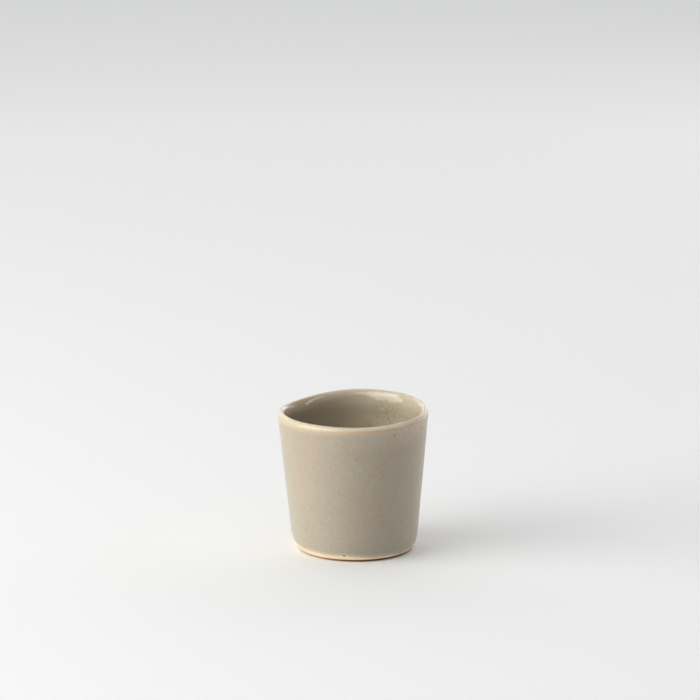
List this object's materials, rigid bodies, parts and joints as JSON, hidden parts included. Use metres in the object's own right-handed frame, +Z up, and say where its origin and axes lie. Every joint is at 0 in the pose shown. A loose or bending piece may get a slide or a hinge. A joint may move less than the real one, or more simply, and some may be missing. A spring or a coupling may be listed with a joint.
{
  "type": "guinomi sake cup",
  "caption": "Small hand-formed sake cup with a straight flared wall, a thick rounded lip that swells on one side, celadon glaze in and out and a bare clay foot.",
  "frame": {"origin": "centre of the foot, on the surface that the cup stands on", "axes": "+Z up through the cup; +X to the right and +Y away from the viewer as pictured, so that the lip's swell is at 60 degrees from +X towards +Y"},
  "size_m": [0.0595, 0.0596, 0.0586],
  "materials": {
    "bare_stoneware": "unglazed fired stoneware, dry and slightly sandy",
    "outer_celadon": "satin grey-green celadon, breaking to buff at the lip",
    "inner_celadon": "glossy grey-green celadon with a fine crackle, pooled darker on the floor"
  },
  "bodies": {
    "root": {"clay_body": "bare_stoneware", "outer_glaze": "outer_celadon", "inner_glaze": "inner_celadon"}
  },
  "joints": []
}
